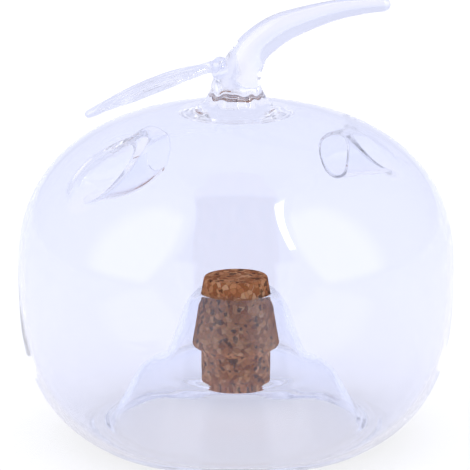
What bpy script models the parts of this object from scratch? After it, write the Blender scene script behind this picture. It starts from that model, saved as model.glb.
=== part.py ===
"""Glass wasp trap: a blown apple with two entry funnels, a stem with a leaf, and a cork foot stopper.

The table is the plane z = 0 and the turning axis of the apple is the Z axis.
All sizes are in metres.
"""
import math

import bmesh
import bpy
from mathutils import Matrix
from mathutils import Vector

# ---------------------------------------------------------------- apple body
BODY_RADIUS = 0.0700
CROWN_HEIGHT = 0.1080
EQUATOR_HEIGHT = 0.0548
CROWN_POWER = 2.4
BELLY_POWER = 2.9
BELLY_DEPTH_RATIO = 1.132
WALL = 0.0018
DIMPLE_DEPTH = 0.0010
DIMPLE_RADIUS = 0.0240

# ------------------------------------------------------- foot ring and cone
FOOT_WIDTH = 0.0034
FOOT_THICKNESS = 0.0031
CONE_HEIGHT = 0.0474
CONE_WALL = 0.0017
NECK_CLEARANCE = 0.0005
LIP_ROUND = 0.00065

# ------------------------------------------------------------- entry funnels
FUNNEL_MOUTH_BORE = 0.0098
FUNNEL_THROAT_BORE = 0.0068
FUNNEL_WALL = 0.0017
FUNNEL_LENGTH = 0.0230
FRONT_AZIMUTH = math.radians(-53.5)
FRONT_MOUTH_DROP = 0.0148
FRONT_RISE = math.radians(7.0)
REAR_AZIMUTH = math.radians(127.0)
REAR_MOUTH_DROP = 0.0212
REAR_RISE = math.radians(0.0)

# ------------------------------------------------------------ stem and leaf
ROOT_RADIUS = 0.0103
ROOT_GATHER_RADIUS = 0.0135
ROOT_GATHER_DEPTH = 0.0062
ROOT_RISE = 0.0080
STEM_RADIUS = 0.0068
STEM_TIP_RADIUS = 0.0021
STEM_REACH = 0.0472
STEM_RISE = 0.0258
LEAF_LENGTH = 0.0395
LEAF_WIDTH = 0.0200
LEAF_THICKNESS = 0.0030
LEAF_DROP = 0.0155
BEAD_RADIUS = 0.0042

# --------------------------------------------------------------------- cork
CORK_TOP_RADIUS = 0.0103
CORK_SHOULDER_RADIUS = 0.0140
CORK_GRIP_RADIUS = 0.0112
CORK_TAPER_LENGTH = 0.0223
CORK_GRIP_LENGTH = 0.0139
CORK_STAND_PROUD = 0.0050

# ------------------------------------------------------------ shared numbers
GAP = 0.0003
BODY_SEGMENTS = 48
PIPE_SEGMENTS = 32
CORK_SEGMENTS = 36


def blend(value):
    """Ease a value from 0 to 1 with level ends."""
    value = min(1.0, max(0.0, value))
    return value * value * (3.0 - 2.0 * value)


def material(name, colour, roughness, transmission):
    """Return one Principled material."""
    made = bpy.data.materials.new(name)
    made.use_nodes = True
    shader = made.node_tree.nodes["Principled BSDF"]
    shader.inputs["Base Color"].default_value = (*colour, 1.0)
    shader.inputs["Roughness"].default_value = roughness
    shader.inputs["Transmission Weight"].default_value = transmission
    shader.inputs["IOR"].default_value = 1.47
    return made


def glass(name):
    """Clear borosilicate glass with a faint cold tint."""
    return material(name, (0.86, 0.88, 0.96), 0.03, 1.0)


def finish(name, mesh_data, finish_material):
    """Turn a bmesh into a named, smooth, outward-facing object."""
    bmesh.ops.recalc_face_normals(mesh_data, faces=mesh_data.faces[:])
    mesh = bpy.data.meshes.new(name)
    mesh_data.to_mesh(mesh)
    mesh_data.free()
    for face in mesh.polygons:
        face.use_smooth = True
    mesh.set_sharp_from_angle(angle=math.radians(40.0))
    made = bpy.data.objects.new(name, mesh)
    bpy.context.scene.collection.objects.link(made)
    if finish_material is not None:
        mesh.materials.append(finish_material)
    return made


def turned(profile, segments, frame=None):
    """Turn (radius, height) points about local Z; a closed ring unless both ends sit on the axis."""
    frame = frame or Matrix.Identity(4)
    made = bmesh.new()
    on_axis = profile[0][0] < 1e-7 and profile[-1][0] < 1e-7
    rings = []
    for radius, height in profile:
        if radius < 1e-7:
            rings.append([made.verts.new(frame @ Vector((0.0, 0.0, height)))])
            continue
        ring = []
        for step in range(segments):
            angle = 2.0 * math.pi * step / segments
            point = Vector((radius * math.cos(angle), radius * math.sin(angle), height))
            ring.append(made.verts.new(frame @ point))
        rings.append(ring)
    pairs = list(zip(rings, rings[1:]))
    if not on_axis:
        pairs.append((rings[-1], rings[0]))
    for lower, upper in pairs:
        for step in range(segments):
            following = (step + 1) % segments
            if len(lower) == 1:
                made.faces.new((lower[0], upper[step], upper[following]))
            elif len(upper) == 1:
                made.faces.new((lower[step], upper[0], lower[following]))
            else:
                made.faces.new((lower[step], upper[step], upper[following], lower[following]))
    return made


def swept(stations, sides):
    """Join oval rings along a path; each station is centre, two half-axis vectors; the ends are capped."""
    made = bmesh.new()
    rings = []
    for centre, across, upward in stations:
        ring = []
        for step in range(sides):
            angle = 2.0 * math.pi * step / sides
            ring.append(made.verts.new(centre + across * math.cos(angle) + upward * math.sin(angle)))
        rings.append(ring)
    for lower, upper in zip(rings, rings[1:]):
        for step in range(sides):
            following = (step + 1) % sides
            made.faces.new((lower[step], lower[following], upper[following], upper[step]))
    for ring, centre in ((rings[0], stations[0][0]), (rings[-1], stations[-1][0])):
        hub = made.verts.new(centre)
        for step in range(sides):
            made.faces.new((ring[step], ring[(step + 1) % sides], hub))
    return made


def boolean(target, cutter, operation):
    """Add one exact Boolean and hide its cutter."""
    modifier = target.modifiers.new(cutter.name, "BOOLEAN")
    modifier.operation = operation
    modifier.solver = "EXACT"
    modifier.object = cutter
    cutter.hide_render = True
    cutter.display_type = "WIRE"


def outer_radius(height, inset=0.0):
    """Radius of the apple at a height, measured on a skin set in from the outside."""
    radius = BODY_RADIUS - inset
    if height >= EQUATOR_HEIGHT:
        reach = CROWN_HEIGHT - EQUATOR_HEIGHT - inset
        power = CROWN_POWER
    else:
        reach = EQUATOR_HEIGHT * BELLY_DEPTH_RATIO - inset
        power = BELLY_POWER
    part = min(1.0, abs(height - EQUATOR_HEIGHT) / reach)
    return radius * (1.0 - part ** power) ** (1.0 / power)


def crown_height(radius, inset=0.0):
    """Height of the crown at a radius, with the dimple round the stem."""
    part = min(1.0, radius / (BODY_RADIUS - inset))
    rise = (CROWN_HEIGHT - EQUATOR_HEIGHT - inset) * (1.0 - part ** CROWN_POWER) ** (1.0 / CROWN_POWER)
    return EQUATOR_HEIGHT + rise - DIMPLE_DEPTH * blend(1.0 - radius / DIMPLE_RADIUS)


def belly_profile(inset, lowest, steps):
    """Points from a low height up to the equator."""
    depth = EQUATOR_HEIGHT * BELLY_DEPTH_RATIO - inset
    start = math.asin(min(1.0, ((EQUATOR_HEIGHT - lowest) / depth) ** (BELLY_POWER / 2.0)))
    points = []
    for step in range(steps):
        angle = start * (1.0 - step / steps)
        height = EQUATOR_HEIGHT - depth * math.sin(angle) ** (2.0 / BELLY_POWER)
        points.append((outer_radius(height, inset), height))
    return points


def crown_profile(inset, innermost, steps):
    """Points from the equator up and in to a radius near the stem."""
    radius = BODY_RADIUS - inset
    end = math.acos((innermost / radius) ** (CROWN_POWER / 2.0))
    points = []
    for step in range(steps + 1):
        angle = end * step / steps
        across = radius * math.cos(angle) ** (2.0 / CROWN_POWER)
        points.append((across, crown_height(across, inset)))
    return points


def foot_outer_radius():
    """Radius where the belly reaches the table."""
    return outer_radius(0.0)


def foot_inner_radius():
    """Radius where the foot ring hands over to the cone."""
    return foot_outer_radius() - FOOT_WIDTH


def body_profile():
    """Closed section of the apple wall with its flat foot ring."""
    foot_out = foot_outer_radius()
    foot_in = foot_inner_radius()
    hole = ROOT_RADIUS + GAP
    inner_low = FOOT_THICKNESS + 0.0011
    points = [(foot_in, 0.0), (foot_out - 0.0005, 0.0), (foot_out + 0.0001, 0.00015)]
    points += belly_profile(0.0, 0.0007, 9)
    points += crown_profile(0.0, hole, 11)
    points += list(reversed(crown_profile(WALL, hole, 9)))
    points += list(reversed(belly_profile(WALL, inner_low, 8)))
    reach = outer_radius(inner_low, WALL)
    points.append((foot_in + (reach - foot_in) * 0.72, FOOT_THICKNESS + 0.00025))
    points.append((foot_in + (reach - foot_in) * 0.38, FOOT_THICKNESS - 0.00010))
    points.append((foot_in, FOOT_THICKNESS))
    return points


# Cone outside as (share of the way from lip to foot, share of the height).
CONE_SHAPE = (
    (1.000, 0.065), (0.927, 0.118), (0.847, 0.194), (0.770, 0.278), (0.707, 0.352),
    (0.640, 0.418), (0.540, 0.466), (0.413, 0.502), (0.327, 0.546), (0.280, 0.603),
    (0.247, 0.662), (0.197, 0.745), (0.153, 0.844), (0.093, 0.928),
)


def neck_bore_radius():
    """Bore of the lip: the cork's taper at the foot of the lip bead, and the clearance round it."""
    share = (CORK_STAND_PROUD + LIP_ROUND) / CORK_TAPER_LENGTH
    return CORK_TOP_RADIUS + (CORK_SHOULDER_RADIUS - CORK_TOP_RADIUS) * share + NECK_CLEARANCE


def cone_profile():
    """Closed section of the cone that rises from the foot ring to the lip round the cork."""
    foot = foot_inner_radius() - GAP
    lip = neck_bore_radius() + 2.0 * LIP_ROUND
    outside = [(lip + (foot - lip) * across, CONE_HEIGHT * up) for across, up in CONE_SHAPE]
    inside = []
    for index in range(1, len(outside)):
        before = Vector(outside[index - 1])
        after = Vector(outside[min(index + 1, len(outside) - 1)])
        run = (after - before).normalized()
        thickness = CONE_WALL if index < len(outside) - 1 else 0.5 * (CONE_WALL + 2.0 * LIP_ROUND)
        inside.append((outside[index][0] - run.y * thickness, outside[index][1] + run.x * thickness))
    bead = []
    for step in range(5):
        angle = math.radians(20.0) + math.radians(170.0) * step / 4
        centre = neck_bore_radius() + LIP_ROUND
        bead.append((centre + LIP_ROUND * math.cos(angle), CONE_HEIGHT - LIP_ROUND + LIP_ROUND * math.sin(angle)))
    low = [(foot - 0.0013, 0.00055), (foot, 0.0003)]
    return outside + bead + list(reversed(inside)) + low


def funnel_frame(azimuth, drop, rise):
    """Frame at the middle of a mouth, below the crown by the drop, with local +Z pointing into the apple."""
    height = CROWN_HEIGHT - drop
    radius = outer_radius(height)
    centre = Vector((radius * math.sin(azimuth), -radius * math.cos(azimuth), height))
    flat = math.cos(rise)
    inward = Vector((-math.sin(azimuth) * flat, math.cos(azimuth) * flat, math.sin(rise)))
    sideways = Vector((math.cos(azimuth), math.sin(azimuth), 0.0))
    upward = inward.cross(sideways)
    turn = Matrix((sideways, upward, inward)).transposed().to_4x4()
    return Matrix.Translation(centre) @ turn


def funnel_bore(depth):
    """Bore radius at a depth behind the middle of the mouth."""
    flare = FUNNEL_MOUTH_BORE - FUNNEL_THROAT_BORE
    start = -0.62 * FUNNEL_LENGTH
    part = (depth - start) / (FUNNEL_LENGTH - start)
    return FUNNEL_THROAT_BORE + flare * 1.55 * (1.0 - part) ** 2.0


def funnel_profile():
    """Closed section of an entry funnel, long enough to be trimmed by the apple skin."""
    start = -0.62 * FUNNEL_LENGTH
    depths = [start + (FUNNEL_LENGTH - 0.0009 - start) * step / 6 for step in range(7)]
    outside = [(funnel_bore(depth) + FUNNEL_WALL, depth) for depth in depths]
    inside = [(funnel_bore(depth), depth) for depth in reversed(depths)]
    middle = funnel_bore(depths[-1]) + 0.5 * FUNNEL_WALL
    end = []
    for step in range(1, 4):
        angle = math.pi * step / 4
        end.append((middle + 0.5 * FUNNEL_WALL * math.cos(angle), depths[-1] + 0.0009 * math.sin(angle)))
    return outside + end + inside


def funnel_cutter_profile():
    """Solid plug a little larger than the funnel, closed on its own axis."""
    start = -0.66 * FUNNEL_LENGTH
    depths = [start + (FUNNEL_LENGTH * 1.04 - start) * step / 6 for step in range(7)]
    wall = [(funnel_bore(depth) + FUNNEL_WALL + GAP, depth) for depth in depths]
    return [(0.0, depths[0])] + wall + [(0.0, depths[-1])]


def skin_profile():
    """The outside of the apple as one solid, closed on the axis."""
    points = [(0.0, 0.0), (foot_outer_radius() - 0.0005, 0.0)]
    points += belly_profile(0.0, 0.0007, 9)
    points += crown_profile(0.0, ROOT_RADIUS + GAP, 11)
    points.append((0.0, crown_height(0.0)))
    return points


def root_profile():
    """The solid glass foot of the stem, with the gather that bulges inside the crown."""
    rim = ROOT_GATHER_RADIUS
    under = crown_height(rim, WALL) - GAP - 0.0002
    low = crown_height(0.0) - ROOT_GATHER_DEPTH
    above = crown_height(ROOT_RADIUS)
    points = [(0.0, low)]
    for step in range(1, 6):
        angle = 0.5 * math.pi * step / 6
        points.append((rim * math.sin(angle), under - 0.0010 - (under - 0.0010 - low) * math.cos(angle)))
    points.append((rim, under - 0.0006))
    points.append((rim - 0.0004, under))
    points.append((ROOT_RADIUS, crown_height(ROOT_RADIUS, WALL) - GAP - 0.0002))
    points.append((ROOT_RADIUS, above - 0.0001))
    waist = STEM_RADIUS + 0.0002
    for step in range(1, 7):
        part = step / 6
        points.append((waist + (ROOT_RADIUS - waist) * (1.0 - part) ** 2.2, above + ROOT_RISE * part))
    points.append((0.0, above + ROOT_RISE))
    return points


# Stem line as (share of the reach, share of the rise, radius as a share of the root radius).
STEM_SHAPE = (
    (0.010, 0.000, 1.000), (0.022, 0.100, 0.945), (0.040, 0.205, 0.880), (0.066, 0.310, 0.820),
    (0.105, 0.400, 0.785), (0.160, 0.490, 0.765), (0.230, 0.590, 0.745), (0.320, 0.690, 0.690),
    (0.430, 0.785, 0.600), (0.550, 0.865, 0.520), (0.680, 0.925, 0.450), (0.820, 0.970, 0.380),
    (0.930, 0.992, 0.335), (0.980, 0.999, 0.310),
)


def stem_stations(extra):
    """Rings of the stem, grown by a small extra for the clearance cutter."""
    base = crown_height(ROOT_RADIUS) + ROOT_RISE + GAP
    centres = [Vector((STEM_REACH * a, 0.0, base + STEM_RISE * b)) for a, b, _ in STEM_SHAPE]
    radii = [max(STEM_TIP_RADIUS, STEM_RADIUS * share) for _, _, share in STEM_SHAPE]
    stations = []
    for index, centre in enumerate(centres):
        before = centres[max(0, index - 1)]
        after = centres[min(len(centres) - 1, index + 1)]
        run = (after - before).normalized()
        if index == 0:
            run = Vector((0.0, 0.0, 1.0))
        upward = Vector((-run.z, 0.0, run.x))
        radius = radii[index] + extra
        stations.append((centre, Vector((0.0, radius, 0.0)), upward * radius))
    last, run = centres[-1], (centres[-1] - centres[-2]).normalized()
    upward = Vector((-run.z, 0.0, run.x))
    for angle in (math.radians(35.0), math.radians(65.0)):
        radius = (radii[-1] + extra) * math.cos(angle)
        centre = last + run * (radii[-1] + extra) * math.sin(angle)
        stations.append((centre, Vector((0.0, radius, 0.0)), upward * radius))
    return stations


def bead_centre():
    """Middle of the bead that welds the leaf to the stem."""
    base = crown_height(ROOT_RADIUS) + ROOT_RISE
    return Vector((-STEM_RADIUS + 0.0006, 0.0, base + 0.21 * STEM_RISE))


def bead_mesh(extra):
    """A slightly flattened ball."""
    radius = BEAD_RADIUS + extra
    points = [(0.0, -radius)]
    points += [(radius * math.sin(math.pi * k / 10), -radius * math.cos(math.pi * k / 10)) for k in range(1, 10)]
    points.append((0.0, radius))
    frame = Matrix.Translation(bead_centre()) @ Matrix.Diagonal((0.90, 1.0, 0.95, 1.0))
    return turned(points, 24, frame)


# Leaf outline as (share of the length, share of the drop, share of the width, share of the thickness).
LEAF_SHAPE = (
    (0.00, 0.000, 0.22, 1.05), (0.08, 0.030, 0.36, 1.05), (0.18, 0.085, 0.62, 1.00),
    (0.30, 0.170, 0.86, 0.95), (0.44, 0.290, 1.00, 0.90), (0.58, 0.430, 0.98, 0.90),
    (0.71, 0.585, 0.82, 0.90), (0.82, 0.730, 0.60, 0.95), (0.91, 0.865, 0.38, 1.00),
    (0.97, 0.955, 0.24, 1.05), (1.00, 1.000, 0.14, 0.75),
)


def leaf_stations():
    """Oval rings along the arched, pressed leaf."""
    start = bead_centre() + Vector((-0.70 * BEAD_RADIUS, 0.0, 0.0008))
    centres = [start + Vector((-LEAF_LENGTH * a, 0.0, -LEAF_DROP * b)) for a, b, _, _ in LEAF_SHAPE]
    stations = []
    for index, (_, _, wide, thick) in enumerate(LEAF_SHAPE):
        before = centres[max(0, index - 1)]
        after = centres[min(len(centres) - 1, index + 1)]
        run = (after - before).normalized()
        upward = Vector((run.z, 0.0, -run.x))
        across = Vector((0.0, 0.5 * LEAF_WIDTH * wide, 0.0))
        stations.append((centres[index], across, upward * 0.5 * LEAF_THICKNESS * thick))
    return stations


def cork_profile():
    """The turned stopper: plain grip, rounded step, long taper, eased top edge."""
    top = CONE_HEIGHT + CORK_STAND_PROUD
    shoulder = top - CORK_TAPER_LENGTH
    bottom = shoulder - CORK_GRIP_LENGTH
    step_out = CORK_SHOULDER_RADIUS - CORK_GRIP_RADIUS
    points = [(0.0, bottom), (CORK_GRIP_RADIUS - 0.0008, bottom)]
    points += [(CORK_GRIP_RADIUS - 0.0002, bottom + 0.0002), (CORK_GRIP_RADIUS, bottom + 0.0008)]
    points += [(CORK_GRIP_RADIUS, shoulder - 0.0022), (CORK_GRIP_RADIUS + 0.08 * step_out, shoulder - 0.0014)]
    points += [(CORK_GRIP_RADIUS + 0.45 * step_out, shoulder - 0.0008)]
    points += [(CORK_GRIP_RADIUS + 0.85 * step_out, shoulder - 0.0004)]
    points += [(CORK_SHOULDER_RADIUS, shoulder + 0.0004)]
    for part in (0.25, 0.5, 0.75):
        radius = CORK_SHOULDER_RADIUS + (CORK_TOP_RADIUS - CORK_SHOULDER_RADIUS) * part
        points.append((radius, shoulder + CORK_TAPER_LENGTH * part))
    points += [(CORK_TOP_RADIUS + 0.00012, top - 0.0007), (CORK_TOP_RADIUS - 0.0002, top - 0.0002)]
    points += [(CORK_TOP_RADIUS - 0.0007, top), (0.0, top)]
    return points


def build_body():
    """The blown wall with both mouths cut through it."""
    shell = finish("body_shell", turned(body_profile(), BODY_SEGMENTS), glass("glass_body_wall"))
    for label, azimuth, drop, rise in ENTRIES:
        frame = funnel_frame(azimuth, drop, rise)
        cutter = finish("mouth_cutter_" + label, turned(funnel_cutter_profile(), PIPE_SEGMENTS, frame), None)
        boolean(shell, cutter, "DIFFERENCE")
    finish("base_cone", turned(cone_profile(), BODY_SEGMENTS), glass("glass_base_cone"))


def build_funnels():
    """The two entry funnels, their mouths trimmed to the skin of the apple."""
    for label, azimuth, drop, rise in ENTRIES:
        frame = funnel_frame(azimuth, drop, rise)
        name = "entry_funnel_" + label
        funnel = finish(name, turned(funnel_profile(), PIPE_SEGMENTS, frame), glass("glass_" + name))
        skin = finish("skin_trim_" + label, turned(skin_profile(), BODY_SEGMENTS), None)
        boolean(funnel, skin, "INTERSECT")


def build_stem():
    """The stem foot, the bent stem, the weld bead and the leaf."""
    finish("stem_root", turned(root_profile(), PIPE_SEGMENTS), glass("glass_stem_root"))
    finish("stem", swept(stem_stations(0.0), 28), glass("glass_stem"))
    bead = finish("leaf_joint", bead_mesh(0.0), glass("glass_leaf_joint"))
    boolean(bead, finish("stem_clearance", swept(stem_stations(GAP), 28), None), "DIFFERENCE")
    leaf = finish("leaf", swept(leaf_stations(), 24), glass("glass_leaf"))
    boolean(leaf, finish("bead_clearance", bead_mesh(GAP), None), "DIFFERENCE")


def build_cork():
    """The loose stopper."""
    cork = material("cork_agglomerate", (0.43, 0.20, 0.09), 0.85, 0.0)
    finish("cork_stopper", turned(cork_profile(), CORK_SEGMENTS), cork)


ENTRIES = (
    ("front", FRONT_AZIMUTH, FRONT_MOUTH_DROP, FRONT_RISE),
    ("rear", REAR_AZIMUTH, REAR_MOUTH_DROP, REAR_RISE),
)

for leftover in list(bpy.data.objects):
    bpy.data.objects.remove(leftover, do_unlink=True)
build_body()
build_funnels()
build_stem()
build_cork()
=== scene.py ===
import logging
import math
from dataclasses import dataclass, field
from enum import Enum

import bmesh
import bpy
import numpy as np
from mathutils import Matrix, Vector, noise


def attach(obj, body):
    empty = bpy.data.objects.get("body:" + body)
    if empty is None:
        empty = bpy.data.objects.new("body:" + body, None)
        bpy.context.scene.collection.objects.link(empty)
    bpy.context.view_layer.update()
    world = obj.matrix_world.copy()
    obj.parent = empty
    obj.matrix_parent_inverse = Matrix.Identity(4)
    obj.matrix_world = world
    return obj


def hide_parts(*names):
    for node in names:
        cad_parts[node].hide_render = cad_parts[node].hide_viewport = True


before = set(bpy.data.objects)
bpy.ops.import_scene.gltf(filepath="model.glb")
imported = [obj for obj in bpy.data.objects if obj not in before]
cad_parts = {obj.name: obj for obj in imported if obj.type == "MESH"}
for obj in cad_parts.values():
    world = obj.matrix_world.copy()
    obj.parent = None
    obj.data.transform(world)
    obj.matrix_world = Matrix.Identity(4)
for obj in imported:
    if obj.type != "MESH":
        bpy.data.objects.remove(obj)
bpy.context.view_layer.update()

log = logging.getLogger("wasp_trap")
MM = 0.001


# --------------------------------------------------------------------------- shared helpers
def hex_colour(code: str) -> tuple[float, float, float, float]:
    """Turn an sRGB hex colour into linear light.

    Args:
        code: six hex digits, with or without a leading hash.

    Returns:
        Linear red, green, blue and an alpha of one.
    """
    digits = code.lstrip("#")
    channels = [int(digits[start:start + 2], 16) / 255.0 for start in (0, 2, 4)]
    linear = [c / 12.92 if c <= 0.04045 else ((c + 0.055) / 1.055) ** 2.4 for c in channels]
    return (linear[0], linear[1], linear[2], 1.0)


def add_node(tree: bpy.types.NodeTree, kind: str, settings: dict[str, object] | None = None,
             values: dict[str, object] | None = None,
             links: dict[str, bpy.types.NodeSocket] | None = None) -> bpy.types.Node:
    """Add one shader node with its settings and links.

    Args:
        tree: the node tree that gets the node.
        kind: Blender's name for the node type.
        settings: attributes of the node itself.
        values: default values by input name or index.
        links: source sockets by input name or index.

    Returns:
        The new node.
    """
    node = tree.nodes.new(kind)
    for key, value in (settings or {}).items():
        setattr(node, key, value)
    for key, value in (values or {}).items():
        node.inputs[key].default_value = value
    for key, source in (links or {}).items():
        tree.links.new(source, node.inputs[key])
    return node


def new_material(name: str) -> tuple[bpy.types.Material, bpy.types.NodeTree, bpy.types.Node, bpy.types.Node]:
    """Start an empty node material.

    Args:
        name: the material's name.

    Returns:
        The material, its tree, its Principled shader and its output node.
    """
    made = bpy.data.materials.new(name)
    made.use_nodes = True
    tree = made.node_tree
    tree.nodes.clear()
    output = add_node(tree, "ShaderNodeOutputMaterial")
    shader = add_node(tree, "ShaderNodeBsdfPrincipled")
    tree.links.new(shader.outputs["BSDF"], output.inputs["Surface"])
    return made, tree, shader, output


def set_ramp(node: bpy.types.Node, stops: list[tuple[float, str]]) -> None:
    """Give a colour ramp its stops.

    Args:
        node: the colour ramp node.
        stops: positions with sRGB hex colours, in rising order.
    """
    ramp = node.color_ramp
    while len(ramp.elements) > 1:
        ramp.elements.remove(ramp.elements[-1])
    ramp.elements[0].position = stops[0][0]
    ramp.elements[0].color = hex_colour(stops[0][1])
    for position, code in stops[1:]:
        ramp.elements.new(position).color = hex_colour(code)


def make_object(name: str, points: np.ndarray, faces: list[tuple[int, ...]],
                finish: bpy.types.Material) -> bpy.types.Object:
    """Make a smooth, outward-facing mesh object and drop points that no face uses.

    Args:
        name: the piece's name.
        points: one row of x, y and z for each point, in metres.
        faces: point numbers of each face.
        finish: the material of the whole piece.

    Returns:
        The linked object.
    """
    used = np.unique(np.fromiter((index for face in faces for index in face), dtype=np.int64))
    renumber = np.full(len(points), -1, dtype=np.int64)
    renumber[used] = np.arange(len(used))
    mesh = bpy.data.meshes.new(name)
    mesh.from_pydata(points[used].tolist(), [], [tuple(int(renumber[i]) for i in face) for face in faces])
    work = bmesh.new()
    work.from_mesh(mesh)
    bmesh.ops.recalc_face_normals(work, faces=work.faces[:])
    work.to_mesh(mesh)
    work.free()
    mesh.shade_smooth()
    mesh.materials.append(finish)
    made = bpy.data.objects.new(name, mesh)
    bpy.context.scene.collection.objects.link(made)
    return made


def bezier(start: np.ndarray, first: np.ndarray, second: np.ndarray, end: np.ndarray,
           steps: int) -> np.ndarray:
    """Points of a cubic Bezier curve.

    Args:
        start: the first point, or a row of first points.
        first: the control point after it.
        second: the control point before the end.
        end: the last point.
        steps: number of spans.

    Returns:
        An array of steps + 1 points along the first axis.
    """
    share = np.linspace(0.0, 1.0, steps + 1).reshape((-1,) + (1,) * np.ndim(start))
    rest = 1.0 - share
    return (rest ** 3 * start + 3.0 * rest ** 2 * share * first
            + 3.0 * rest * share ** 2 * second + share ** 3 * end)


def through(points: list[tuple[float, ...]], per_span: int) -> np.ndarray:
    """A smooth Catmull-Rom curve through given points.

    Args:
        points: the points that it passes through.
        per_span: number of steps between two of them.

    Returns:
        The dense points as rows.
    """
    given = np.asarray(points, dtype=float)
    padded = np.vstack([2.0 * given[0] - given[1], given, 2.0 * given[-1] - given[-2]])
    rows = []
    for index in range(1, len(padded) - 2):
        before, here, after, later = padded[index - 1:index + 3]
        for step in range(per_span):
            share = step / per_span
            rows.append(0.5 * (2.0 * here + (after - before) * share
                               + (2.0 * before - 5.0 * here + 4.0 * after - later) * share ** 2
                               + (3.0 * here - before - 3.0 * after + later) * share ** 3))
    rows.append(given[-1])
    return np.array(rows)


def even_steps(points: np.ndarray, spans: int) -> np.ndarray:
    """Space points evenly along a dense line.

    Args:
        points: the dense line as rows.
        spans: number of equal spans.

    Returns:
        spans + 1 rows from the first point to the last.
    """
    gaps = np.linalg.norm(np.diff(points, axis=0), axis=1)
    along = np.concatenate([[0.0], np.cumsum(gaps)])
    wanted = np.linspace(0.0, along[-1], spans + 1)
    return np.stack([np.interp(wanted, along, points[:, axis]) for axis in range(points.shape[1])], axis=1)


def band(lower: list[int], upper: list[int], closed: bool = True) -> list[tuple[int, ...]]:
    """Faces between two rows of the same number of points.

    Args:
        lower: point numbers of the first row.
        upper: point numbers of the second row.
        closed: whether the rows run all the way round.

    Returns:
        One four-sided face for each step.
    """
    count = len(lower) if closed else len(lower) - 1
    return [(lower[k], lower[(k + 1) % len(lower)], upper[(k + 1) % len(upper)], upper[k])
            for k in range(count)]


# --------------------------------------------------------------------------- finishes
@dataclass(frozen=True)
class BlownGlass:
    """Clear borosilicate glass, lamp-worked and fire-polished."""

    name: str = "borosilicate_glass_fire_polished"
    tint: str = "#FAFBFF"
    index: float = 1.474
    roughness: float = 0.0
    ripple_size: float = 22.0 * MM
    ripple_depth: float = 0.05 * MM
    cord_size: float = 5.0 * MM
    cord_depth: float = 0.004 * MM

    def make(self) -> bpy.types.Material:
        """Make the material: the slow ripples bend reflections as hand-turned glass does.

        Returns:
            The glass material.
        """
        made, tree, shader, _ = new_material(self.name)
        shader.inputs["Base Color"].default_value = hex_colour(self.tint)
        shader.inputs["Roughness"].default_value = self.roughness
        shader.inputs["IOR"].default_value = self.index
        shader.inputs["Transmission Weight"].default_value = 1.0
        place = add_node(tree, "ShaderNodeTexCoord")
        # Slow waves left by turning the hot bubble in the flame.
        wave = add_node(tree, "ShaderNodeTexNoise", values={"Scale": 1.0 / self.ripple_size, "Detail": 1.0},
                        links={"Vector": place.outputs["Object"]})
        slow = add_node(tree, "ShaderNodeBump", values={"Strength": 1.0, "Distance": self.ripple_depth},
                        links={"Height": wave.outputs["Fac"]})
        # Finer cords of glass that melted together, stretched round the turning axis.
        stretch = add_node(tree, "ShaderNodeMapping", values={"Scale": (0.35, 0.35, 1.0)},
                           links={"Vector": place.outputs["Object"]})
        cord = add_node(tree, "ShaderNodeTexNoise", values={"Scale": 1.0 / self.cord_size, "Detail": 2.0},
                        links={"Vector": stretch.outputs["Vector"]})
        fine = add_node(tree, "ShaderNodeBump", values={"Strength": 1.0, "Distance": self.cord_depth},
                        links={"Height": cord.outputs["Fac"], "Normal": slow.outputs["Normal"]})
        tree.links.new(fine.outputs["Normal"], shader.inputs["Normal"])
        return made


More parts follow.
